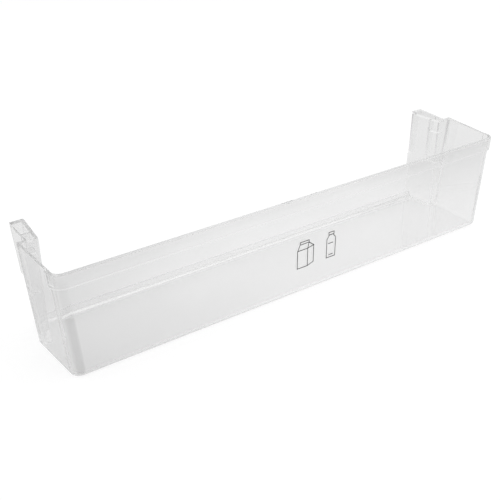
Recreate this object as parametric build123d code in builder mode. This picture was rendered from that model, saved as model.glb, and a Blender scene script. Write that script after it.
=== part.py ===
"""A clear moulded shelf for a refrigerator door, hung on the door by a pocket at each end."""
import os

from build123d import *

# Overall sizes in millimetres
length = 480.0  # over the rim band at the front corners
depth = 97.0  # face of the rim band to the rear edges of the bay walls
height = 95.0  # front rim above the underside
rim_rise = 4.5  # how much higher the rim stands at the rear than at the front

# Walls and floor
wall = 2.5
floor = 2.5
end_lean = 8.2  # how far each end wall leans out, from the underside to the front rim's height
end_flare = 1.3  # how far each end wall runs out, from the end of the rim band to the step
bay_lean = 1.5  # how far each narrower wall behind the step leans out, over the same height
bay_taper = 3.0  # how far each bay wall runs in, from the step to its rear edge
corner_radius = 9.0  # upright front corners, outside
base_radius = 5.0  # front and end edges of the underside, outside
inner_radius = 2.5  # where the floor meets the walls, inside
step_radius = 3.2  # upright corners inside the step

# Rim band along the front and round its corners
rim_out = 1.5
rim_height = 12.0
rim_wrap = 14.0  # face of the band to its end on the end wall
rim_radius = 0.8  # upper edges of the front rim

# Step where each end wall turns in to the narrower rear bay
step_back = 63.0  # face of the rim band to the rear face of the step
step_in = 13.5  # at the front rim's height

# Low sill that turns up along the rear edge of the floor
sill_height = 8.5
sill_thickness = 2.2
sill_radius = 5.0  # where the floor turns up into the sill, inside
sill_setback = 4.0  # rear face of the sill in front of the rear edges of the bay walls

# Hanger pocket on the outside of each rear bay wall
hanger_inset = 8.5  # outer faces of the ribs and the cap inside the end wall's rear edge, sideways
foot_inset = 3.5  # the same for the web at the foot
hanger_setback = 1.0  # rear rib in front of the rear edge of the bay wall
pocket_width = 19.0  # clear between the two ribs, which drop over a boss of the door
pocket_height = 43.5  # foot of the ribs to the underside of the cap, which rests on the boss
rib = 2.0
cap = 2.5  # where it leaves the step
web_drop = 10.0  # underside of the cap to the upper face of the upper web

# Cutting tools run this far past the faces that they open
overcut = 5.0

# Places worked out from the sizes
x_rim = length / 2
x_end = x_rim - rim_out
x_bay = x_end - step_in
y_rim = -depth / 2
y_front = y_rim + rim_out
y_wrap = y_rim + rim_wrap
y_step = y_rim + step_back
y_inside = y_step - wall - inner_radius - overcut
y_rear = depth / 2
y_sill = y_rear - sill_setback
y_hanger = y_rear - hanger_setback
y_pocket = y_hanger - rib - pocket_width
y_open = y_rear + overcut
z_top = height + rim_rise
z_open = z_top + overcut
z_cap = height + rim_rise * step_back / depth - cap
z_foot = z_cap - pocket_height
z_web = z_cap - web_drop - rib
rim_plane = Plane(origin=(0, y_rim, height), x_dir=(1, 0, 0), z_dir=(0, -rim_rise, depth))


def end_half_width(z, y):
    """Outside of the front end walls, which lean out towards the rim and run out towards the step."""
    return x_end - end_lean * (1 - z / height) + end_flare * (y - y_wrap) / (y_step - y_wrap)


def bay_half_width(z, y):
    """Outside of the rear bay walls, which lean out a little and run in towards the rear."""
    return x_bay - bay_lean * (1 - z / height) - bay_taper * (y - y_step) / (y_rear - y_step)


def hanger_half_width(z, y):
    """Outside of the hangers, which lean as the end walls do and run straight to the rear."""
    return end_half_width(z, y_step) - hanger_inset


def leaning_block(half_width, grow, low, high, y_from, y_to):
    """A block with leaning ends, grown sideways by a wall or a band; one side runs past the middle."""
    run = Vector(half_width(low, y_to) - half_width(low, y_from), y_to - y_from, 0)
    with BuildPart() as block:
        with BuildSketch(Plane.XZ.offset(-y_from)):
            with BuildLine():
                Polyline(
                    (-x_bay / 2, low),
                    (half_width(low, y_from) + grow, low),
                    (half_width(high, y_from) + grow, high),
                    (-x_bay / 2, high),
                    close=True,
                )
            make_face()
        extrude(amount=run.length, dir=run)
        mirror(about=Plane.YZ)
    return block.part


def front_uprights(block):
    """The two upright edges at the front of a block."""
    return block.faces().sort_by(Axis.Y)[0].edges().filter_by(Axis.X, reverse=True)


def rear_uprights(block):
    """The two upright edges at the rear of a block."""
    return block.faces().sort_by(Axis.Y)[-1].edges().filter_by(Axis.X, reverse=True)


# Outside of the tray: a wide front part with rounded edges and a narrower rear bay
with BuildPart() as outside:
    add(leaning_block(end_half_width, 0, 0, z_top, y_front, y_step))
    fillet(front_uprights(outside), corner_radius)
    fillet(outside.faces().sort_by(Axis.Z)[0].edges().sort_by(Axis.Y)[:-1], base_radius)
    add(leaning_block(bay_half_width, 0, 0, z_top, y_step - wall, y_rear))

# Space inside the wide front part, open at the top
with BuildPart() as hollow:
    add(leaning_block(end_half_width, -wall, floor, z_open, y_front + wall, y_step - wall))
    fillet(front_uprights(hollow), corner_radius - wall)
    fillet(rear_uprights(hollow), step_radius)
    fillet(hollow.faces().sort_by(Axis.Z)[0].edges(), inner_radius)

# Space inside the rear bay, up to the sill, over it and behind it
with BuildPart() as bay_hollow:
    add(leaning_block(bay_half_width, -wall, floor, z_open, y_inside, y_sill - sill_thickness))
    bay_floor_edges = bay_hollow.faces().sort_by(Axis.Z)[0].edges()
    fillet(bay_floor_edges.filter_by(Axis.X).sort_by(Axis.Y)[-1], sill_radius)
    fillet(bay_hollow.faces().sort_by(Axis.Z)[0].edges().filter_by(Axis.X, reverse=True), inner_radius)
    add(leaning_block(bay_half_width, -wall, sill_height, z_open, y_inside, y_open))
    add(leaning_block(bay_half_width, -wall, -overcut, z_open, y_sill, y_open))

# Band that thickens the front rim and ends on the end walls, just past the corners
with BuildPart() as band:
    add(leaning_block(end_half_width, rim_out, height - rim_height, z_top, y_rim, y_wrap))
    fillet(front_uprights(band), corner_radius + rim_out)
    chamfer(rear_uprights(band), rim_out / 2)

# Hangers: two ribs, a cap over both, and two webs between the front rib and the step
with BuildPart() as hangers:
    for y_rib in (y_pocket - rib, y_hanger - rib):
        add(leaning_block(hanger_half_width, 0, z_foot, z_top, y_rib, y_rib + rib))
    for z_level, grow in ((z_web, 0), (z_foot - rib, hanger_inset - foot_inset)):
        add(leaning_block(hanger_half_width, grow, z_level, z_level + rib, y_step - wall, y_pocket))
    add(leaning_block(hanger_half_width, 0, z_cap, z_top, y_step - wall, y_hanger))

# Strip that sets the hangers and the bay walls above their feet back from the rear edge
with BuildPart() as setback:
    with BuildSketch(Plane.XY.offset(z_foot)):
        with Locations((0, y_hanger)):
            Rectangle(length, hanger_setback + overcut, align=(Align.CENTER, Align.MIN))
    extrude(amount=z_open - z_foot)

# The whole moulding, with its rim cut to the rise and the front edges of the rim rounded
with BuildPart() as shelf:
    add(outside.part)
    add(band.part)
    add(hangers.part)
    split(bisect_by=rim_plane, keep=Keep.BOTTOM)
    add(setback.part, mode=Mode.SUBTRACT)
    add(hollow.part, mode=Mode.SUBTRACT)
    add(bay_hollow.part, mode=Mode.SUBTRACT)
    rim_edges = shelf.faces().filter_by(rim_plane).edges().filter_by(Axis.X).sort_by(Axis.Y)
    fillet(rim_edges[:2], rim_radius)

shelf.part.label = "door_shelf"

os.makedirs("parts", exist_ok=True)
export_step(shelf.part, "parts/door_shelf.step")
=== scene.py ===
"""Looks of a clear refrigerator door shelf: clear plastic, two printed symbols and a white studio."""

import math

import bmesh
import bpy
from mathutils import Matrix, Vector


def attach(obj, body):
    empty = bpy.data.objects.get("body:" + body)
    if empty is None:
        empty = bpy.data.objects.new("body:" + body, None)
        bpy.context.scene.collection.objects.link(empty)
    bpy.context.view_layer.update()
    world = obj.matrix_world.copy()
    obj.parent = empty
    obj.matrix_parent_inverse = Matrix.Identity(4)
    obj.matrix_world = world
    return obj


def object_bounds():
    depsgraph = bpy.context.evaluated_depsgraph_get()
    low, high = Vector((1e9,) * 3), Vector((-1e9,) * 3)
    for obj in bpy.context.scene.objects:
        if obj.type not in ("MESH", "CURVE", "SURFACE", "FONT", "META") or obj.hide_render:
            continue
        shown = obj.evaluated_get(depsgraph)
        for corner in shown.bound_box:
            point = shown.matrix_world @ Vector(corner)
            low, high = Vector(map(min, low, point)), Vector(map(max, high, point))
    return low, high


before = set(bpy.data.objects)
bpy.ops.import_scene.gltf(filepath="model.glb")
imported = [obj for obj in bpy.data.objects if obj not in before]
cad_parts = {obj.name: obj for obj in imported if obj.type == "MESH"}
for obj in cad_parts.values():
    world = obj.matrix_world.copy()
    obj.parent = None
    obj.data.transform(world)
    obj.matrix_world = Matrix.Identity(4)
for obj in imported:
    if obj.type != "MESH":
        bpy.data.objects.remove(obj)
cad_low, cad_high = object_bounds()

MM = 0.001

# Camera, aimed at a point of the shelf from its front left
AIM = Vector((-45.0, -21.8, 45.5)) * MM
AZIMUTH = math.radians(-36.1)
ELEVATION = math.radians(28.27)
DISTANCE = 763.2 * MM
LENS = 62.5  # millimetres
SENSOR = 36.0  # its width in millimetres

# Clear plastic
PLASTIC_TINT = 0.97
PLASTIC_ROUGH = (0.02, 0.06)  # from polished to faintly scuffed
SCUFF_SCALE = 60.0  # per metre
SCUFF_DETAIL = 3.0
SCUFF_RANGE = (0.45, 0.75)  # of the noise, from no scuffs to full ones
WAVE_SCALE = 14.0  # flow waves of the moulding, per metre
WAVE_DETAIL = 0.0
WAVE_DEPTH = 0.05 * MM
PLASTIC_IOR = 1.58
PLASTIC_ABSORPTION = 1.5  # per metre
ABSORPTION_COLOUR = (0.0, 0.0, 0.0, 1.0)  # takes all colours alike
PLASTIC_BOUNCES = 9.5  # light that has bounced more often than this goes straight out
MOST_BOUNCES = 16  # that a render follows
SHADOW_TINT = (0.95, 0.95, 0.95, 1.0)  # of light that goes straight through

# Painted shade, as darker tints of the plastic: an upright band just inside each front corner, and a strip
# along the front rim
CORNER_PAINTED_SHADE = 0.82
CORNER_START = 5.0 * MM  # in from the end of the rim, sideways
CORNER_END = 11.0 * MM
CORNER_TOP = 56.0 * MM
CORNER_ABOVE = 0.3  # the share of the painted shade that is left above that
RIM_PAINTED_SHADE = 0.94
RIM_STRIP = 6.5 * MM  # down from the front rim
PAINTED_SHADE_DEPTH = 8.0 * MM  # both, from the face of the rim band to the rear
PAINTED_SHADE_BLEND = 1.5 * MM
END_LEAN = 8.2 * MM  # how far each end wall leans out, up to the front rim
FRONT_HEIGHT = 95.0 * MM
CORNER_LEAN = END_LEAN / FRONT_HEIGHT

# Printed symbols, on the face of the front wall
FRONT_FACE_BACK = 1.5 * MM  # the wall's face lies this far behind the face of the rim band
INK_WIDTH = 0.75 * MM
INK_THICKNESS = 0.06 * MM
MITRE_LIMIT = 0.4  # keeps the mitre at a sharp corner short
INK_COLOURS = (0.028, 0.05)  # where it is thick and where it is thin
INK_ROUGH = (0.4, 0.65)
INK_GRAIN = 900.0  # per metre
INK_DETAIL = 2.0
INK_RANGE = (0.35, 0.65)  # of the noise, from thick to thin

# Floor
FLOOR_SIZE = 8.0  # metres
FLOOR_GAP = 0.3 * MM  # the floor lies just under the shelf
FLOOR_COLOUR = (0.8, 0.8, 0.8, 1.0)
FLOOR_WHITE = 0.29  # added to the light on the floor where the camera sees it

# Painted light and shade, added to the floor instead where clear plastic shows it
FLOOR_LEFT = 0.07  # left of the shelf
FLOOR_RIGHT = 0.215  # right of the middle
LEFT_START = -280.0 * MM  # where the floor starts to grow paler
RIGHT_START = 20.0 * MM  # where it is palest
FLOOR_REAR = -0.08  # painted shade: less light in a strip behind the shelf
REAR_BLEND = 40.0 * MM
REAR_END = 130.0 * MM  # far side of the strip, which it has at the left only
REAR_END_SIDE = -60.0 * MM  # right of this the strip has no far side
FLOOR_BEYOND = -0.075  # painted shade: less light past the right end
BEYOND_BLEND = 60.0 * MM
FLOOR_FAR = -0.3  # less light away from the painted pool of light that the shelf stands in
PAINTED_POOL_CENTRE = (0.08, 0.15, 0.0)  # metres
PAINTED_POOL_SIZE = (0.38, 0.21, 1.0)  # metres from its middle to its edge
PAINTED_POOL_END = 2.0  # where the floor is darkest, in multiples of that size
FLOOR_PATCHES = 0.02  # between the palest and the darkest soft patches
PATCH_SCALE = 13.0  # per metre
PATCH_DETAIL = 1.0
PATCH_RANGE = (0.3, 0.7)  # of the noise, from dark to pale

# World and lamp
WORLD_COLOUR = (1.0, 1.0, 1.0, 1.0)
WORLD_LIGHT = 0.85
WORLD_WHITE = 1.0  # where the camera sees it
WORLD_LOW = 0.9  # where clear plastic shows it, near the horizon
WORLD_HIGH = 0.95  # and overhead
LAMP_PLACE = Vector((0.9, -0.4, 1.5))  # metres
LAMP_SIZE = 1.2  # metres
LAMP_POWER = 4.0  # watts


def new_nodes(material):
    """An emptied node tree for a material, with its output."""
    material.use_nodes = True
    tree = material.node_tree
    tree.nodes.clear()
    return tree, tree.nodes.new("ShaderNodeOutputMaterial")


def mixed(tree, share, low, high):
    """A value between two others; each is a number or the output of a node."""
    mix = tree.nodes.new("ShaderNodeMix")
    for name, value in (("Factor", share), ("A", low), ("B", high)):
        if isinstance(value, float):
            mix.inputs[name].default_value = value
        else:
            tree.links.new(value, mix.inputs[name])
    return mix.outputs["Result"]


def maths(tree, kind, first, second):
    """One step of arithmetic on two values; each is a number or the output of a node."""
    node = tree.nodes.new("ShaderNodeMath")
    node.operation = kind
    for socket, value in zip(node.inputs, (first, second)):
        if isinstance(value, float):
            socket.default_value = value
        else:
            tree.links.new(value, socket)
    return node.outputs[0]


def graded(tree, value, first, last, low, high):
    """A smooth change from low to high as a value goes from first to last."""
    grade = tree.nodes.new("ShaderNodeMapRange")
    grade.interpolation_type = "SMOOTHSTEP"
    for name, number in (("From Min", first), ("From Max", last), ("To Min", low), ("To Max", high)):
        grade.inputs[name].default_value = number
    tree.links.new(value, grade.inputs["Value"])
    return grade.outputs["Result"]


def blended(tree, value, middle, blend, low, high):
    """A smooth change from low to high over a short way to each side of a middle value."""
    return graded(tree, value, middle - blend, middle + blend, low, high)


def by_ray(tree, light, white, through):
    """One value for light, one where the camera sees it, and one where clear plastic shows it."""
    path = tree.nodes.new("ShaderNodeLightPath")
    shown = maths(tree, "MAXIMUM", path.outputs["Is Glossy Ray"], path.outputs["Is Transmission Ray"])
    dim = mixed(tree, shown, light, through)
    return mixed(tree, path.outputs["Is Camera Ray"], dim, white)


def noise(tree, place, scale, detail):
    """Soft noise over a place, with so many repeats to a metre."""
    texture = tree.nodes.new("ShaderNodeTexNoise")
    texture.inputs["Scale"].default_value = scale
    texture.inputs["Detail"].default_value = detail
    tree.links.new(place, texture.inputs["Vector"])
    return texture.outputs[0]


def zone(tree, edges):
    """How far a place is inside a zone, from 0 to 1; each edge has a share on either side."""
    share = 1.0
    for value, middle, low, high in edges:
        share = maths(tree, "MULTIPLY", share, blended(tree, value, middle, PAINTED_SHADE_BLEND, low, high))
    return share


def plastic_tint_and_painted_shade(tree, place):
    """The plastic's tint, with painted shade: darker just inside each front corner and along the front
    rim.
    """
    axes = tree.nodes.new("ShaderNodeSeparateXYZ")
    tree.links.new(place, axes.inputs[0])
    sideways = maths(tree, "ABSOLUTE", axes.outputs["X"], 0.0)
    lean = maths(tree, "MULTIPLY", axes.outputs["Z"], CORNER_LEAN)
    upright = maths(tree, "SUBTRACT", sideways, lean)
    foot = cad_high.x - CORNER_LEAN * cad_high.z
    front = (axes.outputs["Y"], cad_low.y + PAINTED_SHADE_DEPTH, 1.0, 0.0)
    corner = zone(
        tree,
        (
            front,
            (upright, foot - CORNER_END, 0.0, 1.0),
            (upright, foot - CORNER_START, 1.0, 0.0),
            (axes.outputs["Z"], CORNER_TOP, 1.0, CORNER_ABOVE),
        ),
    )
    rim = zone(tree, (front, (axes.outputs["Z"], FRONT_HEIGHT - RIM_STRIP, 0.0, 1.0)))
    # painted shade: the darker tints just inside the front corners and along the front rim
    tint_and_painted_shade = mixed(tree, corner, PLASTIC_TINT, CORNER_PAINTED_SHADE)
    return mixed(tree, rim, tint_and_painted_shade, RIM_PAINTED_SHADE)


def clear_plastic():
    """Polished clear plastic with faint scuffs and flow waves, and painted shade at its front corners and
    rim, which casts a faint shadow.
    """
    material = bpy.data.materials.new("clear_plastic")
    tree, output = new_nodes(material)
    shader = tree.nodes.new("ShaderNodeBsdfPrincipled")
    place = tree.nodes.new("ShaderNodeNewGeometry")
    # the tint carries painted shade at the front corners and along the front rim
    tint_and_painted_shade = plastic_tint_and_painted_shade(tree, place.outputs["Position"])
    tree.links.new(tint_and_painted_shade, shader.inputs["Base Color"])
    shader.inputs["IOR"].default_value = PLASTIC_IOR
    shader.inputs["Transmission Weight"].default_value = 1.0
    scuffs = noise(tree, place.outputs["Position"], SCUFF_SCALE, SCUFF_DETAIL)
    rough = graded(tree, scuffs, *SCUFF_RANGE, *PLASTIC_ROUGH)
    tree.links.new(rough, shader.inputs["Roughness"])
    waves = tree.nodes.new("ShaderNodeBump")
    waves.inputs["Distance"].default_value = WAVE_DEPTH
    tree.links.new(noise(tree, place.outputs["Position"], WAVE_SCALE, WAVE_DETAIL), waves.inputs["Height"])
    tree.links.new(waves.outputs["Normal"], shader.inputs["Normal"])

    path = tree.nodes.new("ShaderNodeLightPath")
    soft = maths(tree, "MAXIMUM", path.outputs["Is Shadow Ray"], path.outputs["Is Diffuse Ray"])
    deep = maths(tree, "GREATER_THAN", path.outputs["Ray Depth"], PLASTIC_BOUNCES)
    through = tree.nodes.new("ShaderNodeBsdfTransparent")
    through.inputs["Color"].default_value = SHADOW_TINT
    mix = tree.nodes.new("ShaderNodeMixShader")
    tree.links.new(maths(tree, "MAXIMUM", soft, deep), mix.inputs[0])
    tree.links.new(shader.outputs[0], mix.inputs[1])
    tree.links.new(through.outputs[0], mix.inputs[2])
    tree.links.new(mix.outputs[0], output.inputs["Surface"])

    inside = tree.nodes.new("ShaderNodeVolumeAbsorption")
    inside.inputs["Density"].default_value = PLASTIC_ABSORPTION
    inside.inputs["Color"].default_value = ABSORPTION_COLOUR
    tree.links.new(inside.outputs[0], output.inputs["Volume"])
    return material


def printing_ink():
    """Dark grey screen-printing ink, a little uneven."""
    material = bpy.data.materials.new("printing_ink")
    tree, output = new_nodes(material)
    shader = tree.nodes.new("ShaderNodeBsdfPrincipled")
    place = tree.nodes.new("ShaderNodeNewGeometry")
    grain = noise(tree, place.outputs["Position"], INK_GRAIN, INK_DETAIL)
    tree.links.new(graded(tree, grain, *INK_RANGE, *INK_COLOURS), shader.inputs["Base Color"])
    tree.links.new(graded(tree, grain, *INK_RANGE, *INK_ROUGH), shader.inputs["Roughness"])
    tree.links.new(shader.outputs[0], output.inputs["Surface"])
    return material


def painted_pool_distance(tree, place):
    """How far a place on the floor is from the middle of the painted pool of light, with 1 at its edge."""
    away = tree.nodes.new("ShaderNodeVectorMath")
    away.operation = "SUBTRACT"
    away.inputs[1].default_value = PAINTED_POOL_CENTRE
    tree.links.new(place, away.inputs[0])
    shares = tree.nodes.new("ShaderNodeVectorMath")
    shares.operation = "DIVIDE"
    shares.inputs[1].default_value = PAINTED_POOL_SIZE
    tree.links.new(away.outputs[0], shares.inputs[0])
    distance = tree.nodes.new("ShaderNodeVectorMath")
    distance.operation = "LENGTH"
    tree.links.new(shares.outputs[0], distance.inputs[0])
    return distance.outputs["Value"]


def painted_floor_light(tree, place):
    """Painted light and shade added to the floor where clear plastic shows it: a painted grey studio,
    paler to the right, with painted shade behind the shelf and past its right end, and a painted pool of
    light.
    """
    axes = tree.nodes.new("ShaderNodeSeparateXYZ")
    tree.links.new(place, axes.inputs[0])
    across = graded(tree, axes.outputs["X"], LEFT_START, RIGHT_START, FLOOR_LEFT, FLOOR_RIGHT)
    rear = blended(tree, axes.outputs["Y"], cad_high.y, REAR_BLEND, 0.0, FLOOR_REAR)
    left = blended(tree, axes.outputs["X"], REAR_END_SIDE, REAR_BLEND, -FLOOR_REAR, 0.0)
    behind = blended(tree, axes.outputs["Y"], REAR_END, REAR_BLEND, 0.0, 1.0)
    rear_end = maths(tree, "MULTIPLY", left, behind)
    beyond = blended(tree, axes.outputs["X"], cad_high.x, BEYOND_BLEND, 0.0, FLOOR_BEYOND)
    far = graded(tree, painted_pool_distance(tree, place), 1.0, PAINTED_POOL_END, 0.0, FLOOR_FAR)
    soft = noise(tree, place, PATCH_SCALE, PATCH_DETAIL)
    patches = graded(tree, soft, *PATCH_RANGE, -FLOOR_PATCHES / 2, FLOOR_PATCHES / 2)
    shown = across
    for more in (rear, rear_end, beyond, far, patches):
        shown = maths(tree, "ADD", shown, more)
    return shown


def studio_floor():
    """A pale floor that shows white, apart from the shadow on it, with painted light and shade where clear
    plastic shows it.
    """
    mesh = bpy.data.meshes.new("floor")
    half = FLOOR_SIZE / 2
    corners = [(-half, -half, 0), (half, -half, 0), (half, half, 0), (-half, half, 0)]
    mesh.from_pydata(corners, [], [(0, 1, 2, 3)])
    floor = bpy.data.objects.new("floor", mesh)
    floor.location.z = cad_low.z - FLOOR_GAP
    bpy.context.scene.collection.objects.link(floor)
    material = bpy.data.materials.new("floor")
    tree, output = new_nodes(material)
    diffuse = tree.nodes.new("ShaderNodeBsdfDiffuse")
    diffuse.inputs["Color"].default_value = FLOOR_COLOUR
    place = tree.nodes.new("ShaderNodeNewGeometry")
    # painted light and shade on the floor, shown only where clear plastic shows it
    shown = painted_floor_light(tree, place.outputs["Position"])
    glow = tree.nodes.new("ShaderNodeEmission")
    tree.links.new(by_ray(tree, 0.0, FLOOR_WHITE, shown), glow.inputs["Strength"])
    both = tree.nodes.new("ShaderNodeAddShader")
    tree.links.new(diffuse.outputs[0], both.inputs[0])
    tree.links.new(glow.outputs[0], both.inputs[1])
    tree.links.new(both.outputs[0], output.inputs["Surface"])
    mesh.materials.append(material)


def studio_world():
    """Plain soft light all round, which shows white behind the shelf."""
    world = bpy.data.worlds.new("studio")
    bpy.context.scene.world = world
    world.use_nodes = True
    tree = world.node_tree
    tree.nodes.clear()
    output = tree.nodes.new("ShaderNodeOutputWorld")
    background = tree.nodes.new("ShaderNodeBackground")
    background.inputs["Color"].default_value = WORLD_COLOUR
    way = tree.nodes.new("ShaderNodeTexCoord")
    axes = tree.nodes.new("ShaderNodeSeparateXYZ")
    tree.links.new(way.outputs["Generated"], axes.inputs[0])
    up = graded(tree, axes.outputs["Z"], 0.0, 1.0, WORLD_LOW, WORLD_HIGH)
    tree.links.new(by_ray(tree, WORLD_LIGHT, WORLD_WHITE, up), background.inputs["Strength"])
    tree.links.new(background.outputs[0], output.inputs["Surface"])


def soft_lamp():
    """A square soft lamp that points at the shelf, and that clear plastic doesn't show."""
    data = bpy.data.lights.new("key", "AREA")
    data.shape = "SQUARE"
    data.size = LAMP_SIZE
    data.energy = LAMP_POWER
    lamp = bpy.data.objects.new("key", data)
    lamp.location = LAMP_PLACE
    lamp.rotation_mode = "QUATERNION"
    lamp.rotation_quaternion = (AIM - LAMP_PLACE).to_track_quat("-Z", "Y")
    lamp.visible_transmission = False
    bpy.context.scene.collection.objects.link(lamp)


def camera():
    """The camera at the photograph's viewing angle."""
    data = bpy.data.cameras.new("camera")
    data.lens = LENS
    data.sensor_width = SENSOR
    back = Vector(
        (
            math.sin(AZIMUTH) * math.cos(ELEVATION),
            -math.cos(AZIMUTH) * math.cos(ELEVATION),
            math.sin(ELEVATION),
        )
    )
    holder = bpy.data.objects.new("camera", data)
    holder.location = AIM + back * DISTANCE
    holder.rotation_mode = "QUATERNION"
    holder.rotation_quaternion = (-back).to_track_quat("-Z", "Y")
    bpy.context.scene.collection.objects.link(holder)
    bpy.context.scene.camera = holder


def stroke(mesh, points, closed):
    """A flat line of ink through points on the wall, mitred at its corners."""
    count = len(points)
    inner, outer = [], []
    for i, point in enumerate(points):
        before = points[i - 1] if closed or i else None
        after = points[(i + 1) % count] if closed or i < count - 1 else None
        ways = [(point - before).normalized()] if before is not None else []
        ways += [(after - point).normalized()] if after is not None else []
        normals = [Vector((-way.y, way.x)) for way in ways]
        mean = sum(normals, Vector((0.0, 0.0))).normalized()
        shift = mean * (INK_WIDTH / 2 / max(mean.dot(normals[0]), MITRE_LIMIT))
        inner.append(point - shift)
        outer.append(point + shift)
    face = cad_low.y + FRONT_FACE_BACK
    levels = (face, face - INK_THICKNESS)
    lines = []
    for level in levels:
        for side in (inner, outer):
            lines.append([mesh.verts.new((point.x, level, point.y)) for point in side])
    inner_low, outer_low, inner_top, outer_top = lines
    spans = range(count) if closed else range(count - 1)
    for i in spans:
        j = (i + 1) % count
        mesh.faces.new((inner_top[i], inner_top[j], outer_top[j], outer_top[i]))
        mesh.faces.new((inner_low[j], inner_low[i], outer_low[i], outer_low[j]))
        mesh.faces.new((inner_low[i], inner_low[j], inner_top[j], inner_top[i]))
        mesh.faces.new((outer_low[j], outer_low[i], outer_top[i], outer_top[j]))
    if not closed:
        mesh.faces.new((inner_low[0], inner_top[0], outer_top[0], outer_low[0]))
        mesh.faces.new((inner_low[-1], outer_low[-1], outer_top[-1], inner_top[-1]))


def symbol(name, strokes, ink):
    """One printed symbol, made of lines given in millimetres along and up the wall."""
    mesh = bmesh.new()
    for points, closed in strokes:
        stroke(mesh, [Vector(point) * MM for point in points], closed)
    bmesh.ops.recalc_face_normals(mesh, faces=mesh.faces)
    data = bpy.data.meshes.new(name)
    mesh.to_mesh(data)
    mesh.free()
    data.materials.append(ink)
    piece = bpy.data.objects.new(name, data)
    bpy.context.scene.collection.objects.link(piece)
    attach(piece, "root")


def carton_symbol(ink):
    """A drinks carton with a gable top, drawn at a slant."""
    left, middle, right = -11.5, 0.0, 6.8
    low, side_low = 26.4, 28.6
    shoulder, side_shoulder = 44.1, 45.6
    fold_left, fold_right = -8.9, 1.3
    fold, ridge = 49.8, 52.1
    front = [(left, low), (middle, low), (middle, shoulder), (left, shoulder)]
    side = [(middle, low), (right, side_low), (right, side_shoulder), (middle, shoulder)]
    gable = [
        (left, shoulder),
        (fold_left, fold),
        (fold_left, ridge),
        (fold_right, ridge),
        (fold_right, fold),
    ]
    roof = [(fold_left, fold), (fold_right, fold), (middle, shoulder)]
    fold_side = [(fold_right, fold), (right, side_shoulder)]
    strokes = [(front, True), (side, False), (gable, False), (roof, False), (fold_side, False)]
    symbol("carton_symbol", strokes, ink)


def bottle_symbol(ink):
    """A drinks bottle with a cap and a label."""
    middle, half_width = 27.3, 5.1
    low, shoulder = 26.9, 45.7
    neck, neck_half = 49.2, 2.4
    cap_half, cap_low, cap_top = 3.0, 49.6, 52.2
    label, label_left, label_right = 41.1, 3.6, 2.4
    dash, dash_half = 29.5, 2.6
    body = [
        (middle - neck_half, neck),
        (middle - half_width, shoulder),
        (middle - half_width, low),
        (middle + half_width, low),
        (middle + half_width, shoulder),
        (middle + neck_half, neck),
    ]
    cap = [
        (middle - cap_half, cap_low),
        (middle + cap_half, cap_low),
        (middle + cap_half, cap_top),
        (middle - cap_half, cap_top),
    ]
    label_line = [(middle - label_left, label), (middle + label_right, label)]
    dash_line = [(middle - dash_half, dash), (middle + dash_half, dash)]
    strokes = [(body, False), (cap, True), (label_line, False), (dash_line, False)]
    symbol("bottle_symbol", strokes, ink)


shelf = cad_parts["door_shelf"]
plastic = clear_plastic()
shelf.data.materials.clear()
shelf.data.materials.append(plastic)

ink = printing_ink()
carton_symbol(ink)
bottle_symbol(ink)

studio_floor()
studio_world()
soft_lamp()
camera()
bpy.context.scene.view_settings.view_transform = "Standard"
bpy.context.scene.cycles.max_bounces = MOST_BOUNCES
bpy.context.scene.cycles.transmission_bounces = MOST_BOUNCES
bpy.context.scene.cycles.glossy_bounces = MOST_BOUNCES
